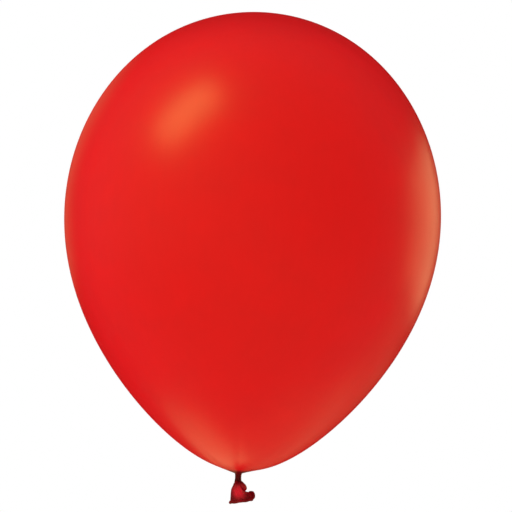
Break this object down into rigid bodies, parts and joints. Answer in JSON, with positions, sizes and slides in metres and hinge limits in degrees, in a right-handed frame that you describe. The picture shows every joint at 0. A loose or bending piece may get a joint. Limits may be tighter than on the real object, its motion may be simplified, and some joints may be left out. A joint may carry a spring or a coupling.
{
  "type": "latex balloon",
  "caption": "Inflated pear-shaped rubber party balloon, tied off with an overhand knot, with a short neck and a loose flared mouth with a rolled lip.",
  "frame": {"origin": "the middle of the throat, on the axis of the neck, at the place where a ribbon is tied", "axes": "+Z from the knot up to the crown; +X towards the side that the loose mouth hangs to; +Y completes the frame"},
  "size_m": [0.2999, 0.3, 0.3912],
  "materials": {
    "stretched_latex": "satin, smooth, slightly translucent stretched latex film",
    "gathered_latex": "satin, unstretched latex in tight fine folds",
    "loose_latex": "satin, unstretched latex, thicker at the rolled lip"
  },
  "bodies": {
    "skin": {"envelope": "stretched_latex", "throat": "gathered_latex"},
    "neck": {"neck": "gathered_latex"},
    "knot": {"knot_core": "gathered_latex", "knot_turn": "gathered_latex"},
    "tail": {"tail": "loose_latex", "rolled_lip": "loose_latex"}
  },
  "joints": [
    {"name": "neck_sway", "type": "hinge", "parent": "skin", "child": "neck", "pos_m": [0, 0, -0.00204], "axis": [0, 1, 0], "range_deg": [-40, 40], "stiffness_Nm_per_rad": 0.001},
    {"name": "knot_nod", "type": "hinge", "parent": "neck", "child": "knot", "pos_m": [0, 0, -0.00444], "axis": [1, 0, 0], "range_deg": [-40, 40], "stiffness_Nm_per_rad": 0.001},
    {"name": "tail_flop", "type": "hinge", "parent": "knot", "child": "tail", "pos_m": [0, 0, -0.01411], "axis": [1, 0, 0], "range_deg": [-35, 35], "stiffness_Nm_per_rad": 0.0005}
  ]
}
